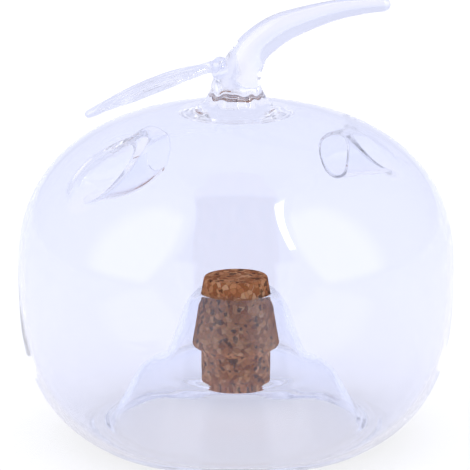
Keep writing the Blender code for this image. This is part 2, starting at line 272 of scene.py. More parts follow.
@dataclass(frozen=True)
class PressedCork:
    """Agglomerated cork: ground grains pressed with binder, then turned and sanded."""

    name: str = "agglomerated_cork_sanded"
    grain: float = 1.6 * MM
    dust: float = 0.35 * MM
    speck: float = 1.25 * MM
    roughness: float = 0.82
    sheen: float = 0.15

    def make(self) -> bpy.types.Material:
        """Make the material: brown grains of differing tone, dark bark specks and open pores.

        Returns:
            The cork material.
        """
        made, tree, shader, _ = new_material(self.name)
        place = add_node(tree, "ShaderNodeTexCoord")
        # A little turbulence keeps the grain edges crooked, as broken cork has them.
        wobble = add_node(tree, "ShaderNodeTexNoise", values={"Scale": 1.0 / (1.3 * MM), "Detail": 2.0},
                          links={"Vector": place.outputs["Object"]})
        push = add_node(tree, "ShaderNodeVectorMath", {"operation": "SCALE"}, {"Scale": 0.7 * MM},
                        {0: wobble.outputs["Color"]})
        moved = add_node(tree, "ShaderNodeVectorMath", {"operation": "ADD"}, None,
                         {0: place.outputs["Object"], 1: push.outputs["Vector"]})
        grains = add_node(tree, "ShaderNodeTexVoronoi", None, {"Scale": 1.0 / self.grain},
                          {"Vector": moved.outputs["Vector"]})
        tone = add_node(tree, "ShaderNodeValToRGB", links={"Fac": grains.outputs["Color"]})
        set_ramp(tone, [(0.0, "#8E4F2A"), (0.25, "#B26A3A"), (0.5, "#CB8250"), (0.75, "#DB9863"),
                        (1.0, "#EBB587")])
        # Fine dust and binder between the grains.
        dust = add_node(tree, "ShaderNodeTexNoise", values={"Scale": 1.0 / self.dust, "Detail": 3.0},
                        links={"Vector": place.outputs["Object"]})
        dusty = add_node(tree, "ShaderNodeMix", {"data_type": "RGBA", "blend_type": "OVERLAY"},
                         {"Factor": 0.45}, {"A": tone.outputs["Color"], "B": dust.outputs["Color"]})
        edges = add_node(tree, "ShaderNodeTexVoronoi", {"feature": "DISTANCE_TO_EDGE"},
                         {"Scale": 1.0 / self.grain}, {"Vector": moved.outputs["Vector"]})
        seam = add_node(tree, "ShaderNodeValToRGB", links={"Fac": edges.outputs["Distance"]})
        set_ramp(seam, [(0.0, "#6E4226"), (0.09, "#FFFFFF")])
        seamed = add_node(tree, "ShaderNodeMix", {"data_type": "RGBA", "blend_type": "MULTIPLY"},
                          {"Factor": 0.35}, {"A": dusty.outputs["Result"], "B": seam.outputs["Color"]})
        # Bark specks, dark and woody.
        speck = add_node(tree, "ShaderNodeTexVoronoi", None, {"Scale": 1.0 / self.speck},
                         {"Vector": moved.outputs["Vector"]})
        pick = add_node(tree, "ShaderNodeSeparateColor", links={"Color": speck.outputs["Color"]})
        dark = add_node(tree, "ShaderNodeMapRange",
                        values={"From Min": 0.84, "From Max": 0.90, "To Min": 0.0, "To Max": 0.75},
                        links={"Value": pick.outputs["Green"]})
        barked = add_node(tree, "ShaderNodeMix", {"data_type": "RGBA"}, {"B": hex_colour("#4A2A18")},
                          {"Factor": dark.outputs["Result"], "A": seamed.outputs["Result"]})
        tree.links.new(barked.outputs["Result"], shader.inputs["Base Color"])
        shader.inputs["Roughness"].default_value = self.roughness
        shader.inputs["Specular IOR Level"].default_value = self.sheen
        height = add_node(tree, "ShaderNodeBump", values={"Strength": 0.6, "Distance": 0.25 * MM},
                          links={"Height": edges.outputs["Distance"]})
        pores = add_node(tree, "ShaderNodeBump", values={"Strength": 0.5, "Distance": 0.12 * MM},
                         links={"Height": dust.outputs["Fac"], "Normal": height.outputs["Normal"]})
        tree.links.new(pores.outputs["Normal"], shader.inputs["Normal"])
        return made


@dataclass(frozen=True)
class LitAcrylic:
    """White acrylic sheet over a lit ground, as a product table has."""

    name: str = "translucent_white_acrylic"
    tint: str = "#F7F7F7"
    roughness: float = 0.9
    body: float = 0.25

    def make(self) -> bpy.types.Material:
        """Make the material: most of the light comes through, so nothing on it casts a hard shadow.

        Returns:
            The table material.
        """
        made, tree, shader, output = new_material(self.name)
        shader.inputs["Base Color"].default_value = hex_colour(self.tint)
        shader.inputs["Roughness"].default_value = self.roughness
        shader.inputs["Specular IOR Level"].default_value = 0.0
        clear = add_node(tree, "ShaderNodeBsdfTransparent")
        mixed = add_node(tree, "ShaderNodeMixShader", None, {0: self.body},
                         {1: clear.outputs[0], 2: shader.outputs["BSDF"]})
        tree.links.new(mixed.outputs[0], output.inputs["Surface"])
        return made


# --------------------------------------------------------------------------- blown body
@dataclass
class Skin:
    """One side of the apple wall as a superellipse of revolution above the equator."""

    radius: float
    rise: float
    equator: float
    power: float

    def value(self, points: np.ndarray) -> np.ndarray:
        """How far points are from the skin, in the superellipse's own measure.

        Args:
            points: points as rows.

        Returns:
            One value for each point: negative inside, zero on the skin.
        """
        across = np.hypot(points[..., 0], points[..., 1]) / self.radius
        up = np.abs(points[..., 2] - self.equator) / self.rise
        return across ** self.power + up ** self.power - 1.0

    def normal(self, points: np.ndarray) -> np.ndarray:
        """Outward unit normals of the skin.

        Args:
            points: points on the skin as rows.

        Returns:
            One normal for each point.
        """
        across = np.hypot(points[..., 0], points[..., 1])
        up = points[..., 2] - self.equator
        out = self.power * across ** (self.power - 1.0) / self.radius ** self.power
        top = self.power * np.abs(up) ** (self.power - 1.0) / self.rise ** self.power * np.sign(up)
        rows = np.stack([out * points[..., 0] / across, out * points[..., 1] / across, top], axis=-1)
        return rows / np.linalg.norm(rows, axis=-1, keepdims=True)

    def settle(self, points: np.ndarray) -> np.ndarray:
        """Move points on to the skin along its normal.

        Args:
            points: points near the skin as rows.

        Returns:
            The moved points.
        """
        moved = points.copy()
        step = 1e-6
        for _ in range(6):
            normal = self.normal(moved)
            here = self.value(moved)
            slope = (self.value(moved + normal * step) - here) / step
            moved = moved - normal * (here / slope)[..., None]
        return moved

    def reach(self, starts: np.ndarray, run: np.ndarray, low: float, high: float) -> np.ndarray:
        """Distances along one direction at which rays from outside meet the skin.

        Args:
            starts: ray origins as rows.
            run: the unit direction that they share.
            low: a distance that is outside for every ray.
            high: a distance that is inside for every ray.

        Returns:
            One distance for each ray.
        """
        near = np.full(len(starts), low)
        far = np.full(len(starts), high)
        for _ in range(50):
            middle = 0.5 * (near + far)
            outside = self.value(starts + middle[:, None] * run) > 0.0
            near = np.where(outside, middle, near)
            far = np.where(outside, far, middle)
        return 0.5 * (near + far)


@dataclass
class EntryFunnel:
    """One funnel melted into the shoulder: flared mouth, bore, rolled throat."""

    name: str
    azimuth: float
    height: float
    tilt: float = math.radians(5.0)
    mouth_bore: float = 7.5 * MM
    throat_bore: float = 6.8 * MM
    wall: float = 1.7 * MM
    length: float = 23.0 * MM
    outer_fillet: float = 4.2 * MM
    inner_fillet: float = 2.6 * MM
    lift: float = 0.0
    straight: float = 6.0 * MM
    tip_wall: float = 1.15 * MM
    tip_wave: float = 0.7 * MM

    def place(self, outer: Skin) -> None:
        """Find the funnel's own axes from the skin that it opens through.

        Args:
            outer: the outside of the apple.
        """
        up = (self.height - outer.equator) / outer.rise
        across = outer.radius * (1.0 - up ** outer.power) ** (1.0 / outer.power)
        sine, cosine = math.sin(self.azimuth), math.cos(self.azimuth)
        self.centre = np.array([across * sine, -across * cosine, self.height])
        flat = math.cos(self.tilt)
        self.inward = np.array([-sine * flat, cosine * flat, -math.sin(self.tilt)])
        self.sideways = np.array([cosine, sine, 0.0])
        self.upward = np.cross(self.sideways, self.inward)
        self.upward *= math.copysign(1.0, self.upward[2])

    def spoke(self, angles: np.ndarray) -> np.ndarray:
        """Unit directions square to the bore.

        Args:
            angles: angles round the bore.

        Returns:
            One direction for each angle.
        """
        return np.outer(np.cos(angles), self.sideways) + np.outer(np.sin(angles), self.upward)

    def bore(self, depth: np.ndarray) -> np.ndarray:
        """Bore radius on the way in.

        Args:
            depth: depths behind the middle of the mouth.

        Returns:
            One radius for each depth.
        """
        share = np.clip((self.length - depth) / (self.length * 1.3), 0.0, 1.2)
        return self.throat_bore + (self.mouth_bore - self.throat_bore) * share

    def ring(self, angles: np.ndarray, size: np.ndarray, depth: np.ndarray) -> np.ndarray:
        """Points round the tube, which bends upwards past its straight stretch.

        Args:
            angles: angles round the tube.
            size: radius at each angle.
            depth: depth at each angle.

        Returns:
            One point for each angle.
        """
        share = np.clip((depth - self.straight) / (self.length - self.straight), 0.0, 1.3)
        bend = self.lift * share ** 2
        wave = self.tip_wave * share ** 3 * (np.sin(2.0 * angles + 0.7) + 0.5 * np.sin(3.0 * angles - 1.1))
        oval = 1.0 + 0.035 * share * np.cos(2.0 * angles + 0.9)
        return (self.centre + self.spoke(angles) * (size * oval)[:, None]
                + (depth + wave)[:, None] * self.inward + bend[:, None] * self.upward)

    def seam(self, skin: Skin, radius: float, fillet: float,
             angles: np.ndarray) -> tuple[np.ndarray, np.ndarray]:
        """Where a round tube would meet a skin, and the line set back from it by the fillet.

        Args:
            skin: the skin that the tube meets.
            radius: the tube's radius.
            fillet: distance along the skin from the meeting line.
            angles: angles round the tube.

        Returns:
            Depths of the meeting line, and the points of the set-back line.
        """
        spokes = self.spoke(angles)
        starts = self.centre + spokes * radius
        depth = skin.reach(starts, self.inward, -25.0 * MM, 24.0 * MM)
        meeting = starts + depth[:, None] * self.inward
        normal = skin.normal(meeting)
        away = spokes - normal * np.sum(spokes * normal, axis=1, keepdims=True)
        away /= np.linalg.norm(away, axis=1, keepdims=True)
        return depth, skin.settle(meeting + away * fillet)

    def angles_for(self, skin: Skin, radius: float, fillet: float, around: np.ndarray) -> np.ndarray:
        """Angles round the tube whose set-back points lie in the same direction as given points.

        Args:
            skin: the skin that the points lie on.
            radius: the tube's radius.
            fillet: distance of the set-back line from the tube.
            around: points of the loop outside it.

        Returns:
            One angle for each point.
        """
        dense = np.linspace(-math.pi, math.pi, 1441)[:-1]
        _, ring = self.seam(skin, radius, fillet, dense)
        middle = ring.mean(axis=0)
        normal = skin.normal(middle[None])[0]
        first = self.sideways
        second = np.cross(normal, first)
        second *= math.copysign(1.0, second[2])
        polar = np.unwrap(np.arctan2((ring - middle) @ second, (ring - middle) @ first))
        wanted = np.arctan2((around - middle) @ second, (around - middle) @ first)
        span = np.concatenate([polar - 2.0 * math.pi, polar, polar + 2.0 * math.pi])
        values = np.concatenate([dense - 2.0 * math.pi, dense, dense + 2.0 * math.pi])
        return np.interp(wanted, span, values)

    def collar(self, skin: Skin, tube: float, fillet: float, angles: np.ndarray, steps: int) -> np.ndarray:
        """Rounded rows that lead from the skin on to the tube.

        Args:
            skin: the skin that the collar starts on.
            tube: radius where tube and skin would meet.
            fillet: size of the rounding.
            angles: angles round the tube.
            steps: number of spans in the rounding.

        Returns:
            Rows of points from the skin to the tube; the last row lies on the tube.
        """
        depth, edge = self.seam(skin, tube, fillet, angles)
        spokes = self.spoke(angles)
        meeting = self.centre + spokes * tube + depth[:, None] * self.inward
        toward = meeting - edge
        toward /= np.linalg.norm(toward, axis=1, keepdims=True)
        landing = depth + fillet
        size = np.full(len(angles), tube)
        if skin.radius > 0.0695:
            size = self.bore(landing)
        end = self.ring(angles, size, landing)
        return bezier(edge, edge + toward * fillet * 0.62, end - self.inward * fillet * 0.62, end, steps)


@dataclass
class BlownApple:
    """Body, foot, cone, gather, stem and funnels, melted into one skin of glass."""

    radius: float = 70.0 * MM
    crown: float = 108.0 * MM
    equator: float = 54.8 * MM
    crown_power: float = 2.4
    belly_power: float = 2.9
    belly_depth: float = 54.8 * 1.132 * MM
    wall: float = 1.8 * MM
    dimple: float = 1.0 * MM
    dimple_radius: float = 24.0 * MM
    cone_wall: float = 1.7 * MM
    lip_radius: float = 12.4 * MM
    lip_round: float = 0.65 * MM
    lip_height: float = 47.4 * MM
    columns: int = 192
    pleat_depth: float = 0.38 * MM
    sway: float = 0.16 * MM
    dapple: float = 0.35 * MM
    dapple_radius: float = 16.0 * MM
    funnels: list[EntryFunnel] = field(default_factory=lambda: [
        EntryFunnel("front", math.radians(-53.5), 93.2 * MM, tilt=math.radians(2.0), lift=6.0 * MM),
        EntryFunnel("rear", math.radians(127.0), 86.8 * MM, tilt=0.0, length=20.5 * MM),
    ])
    # Outside of the cone from foot to lip, in millimetres.
    cone: tuple[tuple[float, float], ...] = (
        (41.5, 4.4), (39.6, 6.9), (37.6, 10.2), (35.8, 13.4), (34.0, 16.7), (32.0, 19.7), (29.0, 22.0),
        (25.4, 23.9), (22.9, 26.0), (21.4, 28.7), (20.3, 31.8), (18.9, 35.4), (17.5, 39.8), (15.9, 43.6),
        (14.1, 46.1),
    )
    # Middle line and radius of the stem, in millimetres.
    stem: tuple[tuple[float, float, float], ...] = (
        (0.0, 115.4, 7.75), (0.4, 116.8, 7.5), (1.4, 119.0, 6.95), (2.8, 122.2, 6.15), (5.8, 127.2, 5.45),
        (12.0, 132.2, 5.0), (18.6, 135.3, 4.35), (30.2, 138.9, 3.3), (39.7, 140.4, 2.55), (46.6, 140.9, 2.15),
    )

    def outline(self) -> tuple[np.ndarray, dict[str, tuple[int, int]]]:
        """The turned section, from the gather's lowest point inside round to the foot of the stem.

        Returns:
            Rows of radius and height, and the row range of each named stretch.
        """
        parts: list[tuple[str, np.ndarray]] = []
        crown_in = self.crown_line(self.wall, 17.5 * MM, 400)
        crown_out = self.crown_line(0.0, 17.0 * MM, 400)
        gather = through([(0.0, 103.6 * MM), (5.0 * MM, 103.65 * MM), (9.6 * MM, 103.9 * MM),
                          (13.4 * MM, 104.4 * MM), (15.8 * MM, 104.75 * MM)]
                         + [tuple(crown_in[-1])], 12)
        parts.append(("gather", even_steps(gather, 18)))
        parts.append(("crown_in", even_steps(crown_in[::-1], 52)))
        belly_in = self.belly_line(self.wall, 4.6 * MM, 400)
        parts.append(("belly_in", even_steps(belly_in[::-1], 44)))
        cone = through([(r * MM, z * MM) for r, z in self.cone], 14)
        low = belly_in[0]
        slope_in = (belly_in[0] - belly_in[4]) / np.linalg.norm(belly_in[0] - belly_in[4])
        slope_cone = (cone[1] - cone[0]) / np.linalg.norm(cone[1] - cone[0])
        trough = bezier(low, low + slope_in * 2.7 * MM, cone[0] - slope_cone * 2.7 * MM, cone[0], 60)
        parts.append(("trough", even_steps(trough, 16)))
        parts.append(("cone_top", even_steps(cone, 60)))
        run = np.gradient(cone, axis=0)
        run /= np.linalg.norm(run, axis=1, keepdims=True)
        under = cone + np.stack([-run[:, 1], run[:, 0]], axis=1) * self.cone_wall
        under = under[::-1]
        middle = np.array([self.lip_radius, self.lip_height - self.lip_round])
        arc = np.radians(np.linspace(30.0, 175.0, 40))
        bead = middle + self.lip_round * 1.15 * np.stack([np.cos(arc), np.sin(arc) * 0.87], axis=1)
        parts.append(("lip", even_steps(through([tuple(cone[-1])] + [tuple(p) for p in bead[::5]]
                                                + [tuple(under[3])], 10), 22)))
        parts.append(("cone_under", even_steps(under[3:-14], 56)))
        start = under[-15]
        slope = (under[-15] - under[-18]) / np.linalg.norm(under[-15] - under[-18])
        rim = np.array([43.8 * MM, 0.0])
        parts.append(("foot_in", even_steps(bezier(start, start + slope * 3.2 * MM,
                                                   rim - np.array([2.6 * MM, 0.0]), rim, 60), 14)))
        parts.append(("foot_flat", even_steps(np.array([rim, [45.4 * MM, 0.0]]), 3)))
        belly_out = self.belly_line(0.0, 1.5 * MM, 400)
        slope = (belly_out[4] - belly_out[0]) / np.linalg.norm(belly_out[4] - belly_out[0])
        foot = bezier(np.array([45.4 * MM, 0.0]), np.array([47.0 * MM, 0.0]),
                      belly_out[0] - slope * 1.4 * MM, belly_out[0], 40)
        parts.append(("foot_out", even_steps(foot, 8)))
        parts.append(("belly_out", even_steps(belly_out, 48)))
        parts.append(("crown_out", even_steps(crown_out, 54)))
        edge = crown_out[-1]
        slope = (crown_out[-1] - crown_out[-5]) / np.linalg.norm(crown_out[-1] - crown_out[-5])
        flare = bezier(edge, edge + slope * 5.5 * MM, np.array([8.4 * MM, 110.0 * MM]),
                       np.array([self.stem[0][2] * MM, self.stem[0][1] * MM]), 80)
        parts.append(("flare", even_steps(flare, 26)))
        rows: list[np.ndarray] = []
        ranges: dict[str, tuple[int, int]] = {}
        for name, points in parts:
            first = len(rows)
            rows.extend(points if not rows else points[1:])
            ranges[name] = (max(0, first - 1), len(rows) - 1)
        return np.array(rows), ranges

    def crown_line(self, inset: float, innermost: float, steps: int) -> np.ndarray:
        """Section of the upper half, with the dimple round the stem.

        Args:
            inset: distance in from the outer skin.
            innermost: radius at which the line stops.
            steps: number of steps from the equator.

        Returns:
            Rows of radius and height.
        """
        radius = self.radius - inset
        rise = self.crown - self.equator - inset
        end = math.acos((innermost / radius) ** (self.crown_power / 2.0))
        angle = np.linspace(0.0, end, steps + 1)
        across = radius * np.cos(angle) ** (2.0 / self.crown_power)
        up = self.equator + rise * np.sin(angle) ** (2.0 / self.crown_power)
        share = np.clip(1.0 - across / self.dimple_radius, 0.0, 1.0)
        return np.stack([across, up - self.dimple * share ** 2 * (3.0 - 2.0 * share)], axis=1)

    def belly_line(self, inset: float, lowest: float, steps: int) -> np.ndarray:
        """Section of the lower half.

        Args:
            inset: distance in from the outer skin.
            lowest: height at which the line starts.
            steps: number of steps up to the equator.

        Returns:
            Rows of radius and height.
        """
        radius = self.radius - inset
        depth = self.belly_depth - inset
        start = math.asin(((self.equator - lowest) / depth) ** (self.belly_power / 2.0))
        angle = np.linspace(start, 0.0, steps + 1)
        across = radius * np.cos(angle) ** (2.0 / self.belly_power)
        return np.stack([across, self.equator - depth * np.sin(angle) ** (2.0 / self.belly_power)], axis=1)

    def skins(self) -> tuple[Skin, Skin]:
        """The two sides of the crown wall.

        Returns:
            The outside and the inside.
        """
        rise = self.crown - self.equator
        return (Skin(self.radius, rise, self.equator, self.crown_power),
                Skin(self.radius - self.wall, rise - self.wall, self.equator, self.crown_power))

    def window(self, rows: np.ndarray, span: tuple[int, int], funnel: EntryFunnel,
               ring: np.ndarray) -> tuple[int, int, int, int]:
        """Rows and columns of the grid to leave out so that a collar ring fits inside.

        Args:
            rows: the turned section.
            span: the rows of the wall that the ring lies on.
            funnel: the funnel that passes through it.
            ring: points of the collar's outermost ring.

        Returns:
            First and last row, first and last column; columns may pass the seam.
        """
        across = np.hypot(ring[:, 0], ring[:, 1])
        inside = rows[span[0]:span[1] + 1, 0]
        rising = inside[0] < inside[-1]
        order = inside if rising else inside[::-1]
        place = np.interp(across, order, np.arange(len(order)))
        place = span[0] + (place if rising else len(order) - 1 - place)
        turn = np.arctan2(ring[:, 0], -ring[:, 1]) - funnel.azimuth
        turn = (turn + math.pi) % (2.0 * math.pi) - math.pi
        column = (turn + funnel.azimuth) / (2.0 * math.pi) * self.columns
        return (int(math.floor(place.min())) - 3, int(math.ceil(place.max())) + 3,
                int(math.floor(column.min())) - 3, int(math.ceil(column.max())) + 3)

    def build(self, glass: bpy.types.Material) -> bpy.types.Object:
        """Build the whole melted body as one closed mesh.

        Args:
            glass: the finish of the body.

        Returns:
            The body object.
        """
        rows, ranges = self.outline()
        turn = 2.0 * math.pi * np.arange(self.columns) / self.columns
        points: list[np.ndarray] = [np.array([0.0, 0.0, rows[0, 1]])]
        grid: list[list[int]] = [[0] * self.columns]
        base_x = self.stem[0][0] * MM
        foot_of_stem = self.stem[0][1] * MM
        for number, (across, up) in enumerate(rows[1:], start=1):
            share = 0.0
            if number >= ranges["flare"][0]:
                share = min(1.0, max(0.0, (up - 106.4 * MM) / (foot_of_stem - 106.4 * MM)))
                share = share * share * (3.0 - 2.0 * share)
            reach = across + self.pleats(turn, share)
            ring = np.stack([reach * np.sin(turn) + base_x * share, -reach * np.cos(turn),
                             np.full(self.columns, up)], axis=1)
            first = len(points)
            points.extend(ring)
            grid.append(list(range(first, first + self.columns)))
        faces: list[tuple[int, ...]] = [(0, grid[1][(k + 1) % self.columns], grid[1][k])
                                        for k in range(self.columns)]
        left_out: set[tuple[int, int]] = set()
        outer, inner = self.skins()
        for funnel in self.funnels:
            funnel.place(outer)
            self.melt_in(funnel, rows, ranges, grid, points, faces, left_out, outer, inner)
        for row in range(1, len(grid) - 1):
            for k in range(self.columns):
                if (row, k) in left_out:
                    continue
                after = (k + 1) % self.columns
                faces.append((grid[row][k], grid[row][after], grid[row + 1][after], grid[row + 1][k]))
        self.draw_stem(grid[-1], points, faces)
        shaped = self.ripple(np.array(points))
        return make_object("blown_apple", shaped, faces, glass)

    def pleats(self, turn: np.ndarray, share: float) -> np.ndarray:
        """How far the pulled glass at the foot of the stem swells or hollows round the axis.

        Args:
            turn: angles round the axis.
            share: share of the way up the flare.

        Returns:
            One radial shift for each angle.
        """
        swell = 4.0 * share * (1.0 - share)
        folds = (np.cos(3.0 * turn + 0.4) + 0.7 * np.cos(7.0 * turn + 1.9) + 0.5 * np.cos(12.0 * turn - 0.8))
        return self.pleat_depth * swell * folds

    def melt_in(self, funnel: EntryFunnel, rows: np.ndarray, ranges: dict[str, tuple[int, int]],
                grid: list[list[int]], points: list[np.ndarray], faces: list[tuple[int, ...]],
                left_out: set[tuple[int, int]], outer: Skin, inner: Skin) -> None:
        """Open both sides of the wall for a funnel and join them by its bore, throat and back.

        Args:
            funnel: the funnel.
            rows: the turned section.
            ranges: row ranges of the named stretches.
            grid: point numbers by row and column.
            points: all points so far.
            faces: all faces so far.
            left_out: grid cells that get no face.
            outer: outside of the wall.
            inner: inside of the wall.
        """
        ends: list[tuple[list[int], np.ndarray]] = []
        sides = ((outer, "crown_out", funnel.mouth_bore, funnel.outer_fillet, 14),
                 (inner, "crown_in", funnel.throat_bore + funnel.wall, funnel.inner_fillet, 10))
        windows: list[tuple[int, int, int, int]] = []
        for skin, stretch, tube, fillet, _ in sides:
            dense = np.linspace(-math.pi, math.pi, 361)[:-1]
            _, ring = funnel.seam(skin, tube, fillet, dense)
            windows.append(self.window(rows, ranges[stretch], funnel, ring))
        count = max(2 * ((high - low) + (right - left)) for low, high, left, right in windows)
        for (skin, _, tube, fillet, steps), (low, high, left, right) in zip(sides, windows):
            right, high = self.match(count, low, high, left, right)
            loop = ([(low, k) for k in range(left, right)] + [(j, right) for j in range(low, high)]
                    + [(high, k) for k in range(right, left, -1)] + [(j, left) for j in range(high, low, -1)])
            for j in range(low, high):
                for k in range(left, right):
                    left_out.add((j, k % self.columns))
            numbers = [grid[j][k % self.columns] for j, k in loop]
            corners = np.array([points[n] for n in numbers])
            angles = funnel.angles_for(skin, tube, fillet, corners)
            collar = funnel.collar(skin, tube, fillet, angles, steps)
            gap = np.linalg.norm(collar[0] - corners, axis=1).max()
            spans = max(3, int(round(gap / (1.3 * MM))))
            current = numbers
            for step in range(1, spans + 1):
                share = step / spans
                ring_points = skin.settle(corners * (1.0 - share) + collar[0] * share)
                current = self.next_row(current, ring_points, points, faces)
            for row in collar[1:]:
                current = self.next_row(current, row, points, faces)
            ends.append((current, angles))
        self.line_bore(funnel, ends, points, faces)

    @staticmethod
    def match(count: int, low: int, high: int, left: int, right: int) -> tuple[int, int]:
        """Grow a window until its loop has a wanted number of points.

        Args:
            count: the wanted number.
            low: first row.
            high: last row.
            left: first column.
            right: last column.

        Returns:
            The new last column and last row.
        """
        while 2 * ((high - low) + (right - left)) < count:
            if (right - left) <= (high - low):
                right += 1
            else:
                high += 1
        return right, high

    @staticmethod
    def next_row(current: list[int], ring: np.ndarray, points: list[np.ndarray],
                 faces: list[tuple[int, ...]]) -> list[int]:
        """Add one more ring of points and the faces that lead to it.

        Args:
            current: point numbers of the last ring.
            ring: the new ring's points.
            points: all points so far.
            faces: all faces so far.

        Returns:
            Point numbers of the new ring.
        """
        first = len(points)
        points.extend(ring)
        numbers = list(range(first, first + len(ring)))
        faces.extend(band(current, numbers))
        return numbers

    def line_bore(self, funnel: EntryFunnel, ends: list[tuple[list[int], np.ndarray]],
                  points: list[np.ndarray], faces: list[tuple[int, ...]]) -> None:
        """Run the bore in to the throat, roll the throat over and come back along the outside.

        Args:
            funnel: the funnel.
            ends: last ring and its angles, on the outside and on the inside of the wall.
            points: all points so far.
            faces: all faces so far.
        """
        (bore_ring, bore_angles), (back_ring, back_angles) = ends
        back_ring = back_ring[::-1]
        back_angles, order = self.turn_to_meet(bore_angles, back_angles[::-1])
        back_ring = [back_ring[k] for k in order]
        bore_points = np.array([points[n] for n in bore_ring])
        back_points = np.array([points[n] for n in back_ring])
        end = funnel.length - 0.5 * funnel.wall
        current = bore_ring
        depth = (bore_points - funnel.centre) @ funnel.inward
        for step in range(1, 17):
            share = step / 16
            here = depth * (1.0 - share) + end * share
            angles = bore_angles * (1.0 - share) + 0.5 * (bore_angles + back_angles) * share
            ring = funnel.ring(angles, funnel.bore(here), here)
            current = self.next_row(current, ring, points, faces)
        middle = 0.5 * (bore_angles + back_angles)
        throat = funnel.bore(np.full(len(middle), end))
        for step in range(1, 8):
            arc = math.pi * step / 8
            size = throat + 0.5 * funnel.tip_wall * (1.0 - math.cos(arc))
            here = np.full(len(middle), end + 0.62 * funnel.tip_wall * math.sin(arc))
            ring = funnel.ring(middle, size, here)
            current = self.next_row(current, ring, points, faces)
        depth = (back_points - funnel.centre) @ funnel.inward
        for step in range(0, 12):
            share = step / 12
            here = end * (1.0 - share) + depth * share
            angles = middle * (1.0 - share) + back_angles * share
            wall = funnel.tip_wall + (funnel.wall - funnel.tip_wall) * share
            ring = funnel.ring(angles, np.full(len(angles), funnel.throat_bore + wall), here)
            current = self.next_row(current, ring, points, faces)
        faces.extend(band(current, back_ring))

    @staticmethod
    def turn_to_meet(wanted: np.ndarray, given: np.ndarray) -> tuple[np.ndarray, list[int]]:
        """Shift a ring's numbering so that its angles lie nearest to another ring's.

        Args:
            wanted: angles to meet.
            given: angles of the ring to renumber.

        Returns:
            The renumbered angles, unwrapped next to the wanted ones, and the order of the points.
        """
        count = len(wanted)
        best, best_shift = None, 0
        for shift in range(count):
            difference = np.roll(given, -shift) - wanted
            difference = (difference + math.pi) % (2.0 * math.pi) - math.pi
            cost = float(np.abs(difference).sum())
            if best is None or cost < best:
                best, best_shift = cost, shift
        order = [(k + best_shift) % count for k in range(count)]
        difference = (given[order] - wanted + math.pi) % (2.0 * math.pi) - math.pi
        return wanted + difference, order

    def draw_stem(self, ring: list[int], points: list[np.ndarray], faces: list[tuple[int, ...]]) -> None:
        """Sweep the solid stem on from the flare to its blunt, rounded tip.

        Args:
            ring: point numbers of the flare's last ring.
            points: all points so far.
            faces: all faces so far.
        """
        line = even_steps(through([(x * MM, z * MM, r * MM) for x, z, r in self.stem], 20), 64)
        turn = 2.0 * math.pi * np.arange(self.columns) / self.columns
        runs = np.gradient(line[:, :2], axis=0)
        runs /= np.linalg.norm(runs, axis=1, keepdims=True)
        lean = np.clip(np.arange(len(line)) / 6.0, 0.0, 1.0)[:, None]
        runs = runs * lean + np.array([0.0, 1.0]) * (1.0 - lean)
        runs /= np.linalg.norm(runs, axis=1, keepdims=True)
        current = ring
        rings = [(line[k, :2], runs[k], line[k, 2]) for k in range(1, len(line))]
        last, heading, blunt = rings[-1]
        nose = rings[-2][2]
        for arc in np.radians([15.0, 30.0, 45.0, 58.0, 70.0, 80.0]):
            rings.append((last + heading * blunt * math.sin(arc), heading, blunt * math.cos(arc)))
        for place, run, size in rings:
            across = np.array([run[1], 0.0, -run[0]])
            middle = np.array([place[0], 0.0, place[1]])
            loop = (middle + size * (np.outer(np.sin(turn), across)
                                     - np.outer(np.cos(turn), np.array([0.0, 1.0, 0.0]))))
            current = self.next_row(current, loop, points, faces)
        tip = len(points)
        points.append(np.array([last[0] + heading[0] * nose, 0.0, last[1] + heading[1] * nose]))
        faces.extend((current[k], current[(k + 1) % len(current)], tip) for k in range(len(current)))

    def ripple(self, points: np.ndarray) -> np.ndarray:
        """Give the turned surfaces the small unevenness of hand-blown glass.

        Args:
            points: all points of the body.

        Returns:
            The moved points.
        """
        moved = points.copy()
        for index, point in enumerate(points):
            low = noise.noise(Vector(point) / 0.038 + Vector((3.1, 0.4, 7.7)))
            quick = noise.noise(Vector(point) / 0.009 + Vector((1.7, 8.2, 2.3)))
            across = math.hypot(point[0], point[1])
            amount = self.sway * low
            if 99.0 * MM < point[2] < 105.6 * MM and across < self.dapple_radius:
                amount += self.dapple * quick * min(1.0, (self.dapple_radius - across) / (7.0 * MM)) ** 2
            if across > 1e-6 and point[2] > 2.0 * MM:
                fade = min(1.0, (point[2] - 2.0 * MM) / (6.0 * MM))
                fade *= min(1.0, max(0.0, (0.0698 - across) / 0.003))
                moved[index, 0] += point[0] / across * amount * fade
                moved[index, 1] += point[1] / across * amount * fade
                moved[index, 2] += amount * fade * 0.5
        return moved


